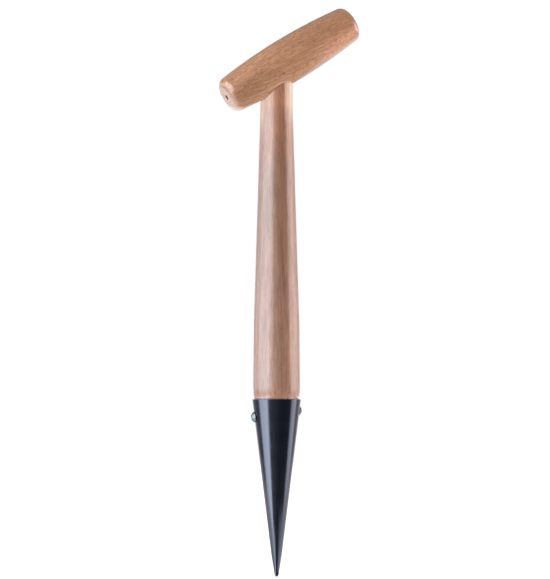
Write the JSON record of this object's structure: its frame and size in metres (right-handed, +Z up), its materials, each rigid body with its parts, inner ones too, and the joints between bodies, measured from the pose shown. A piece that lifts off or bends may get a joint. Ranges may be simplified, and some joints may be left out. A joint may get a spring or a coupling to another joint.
{
  "type": "t-handle dibber",
  "caption": "Hand dibber for planting holes: turned barrel grip set at a slant on a tapered wooden shaft, with a hollow black steel cone screwed over its lower end.",
  "frame": {"origin": "lowest point of the steel tip, on the shaft's axis", "axes": "+Z up along the shaft to the grip, +X towards the grip's high end, +Y square to the grip's slant, away from the nail"},
  "size_m": [0.1088, 0.0364, 0.4249],
  "materials": {
    "grip_wood": "clear satin varnish over beech",
    "shaft_wood": "clear satin varnish over beech",
    "black_paint": "gloss black paint over sheet steel",
    "zinc": "bright zinc plate over steel",
    "nail_steel": "steel, rubbed over with wood stopping"
  },
  "bodies": {
    "root": {"grip": "grip_wood", "shaft": "shaft_wood", "steel_point": "black_paint", "screw_left": "zinc", "screw_right": "zinc", "grip_nail": "nail_steel"}
  },
  "joints": []
}
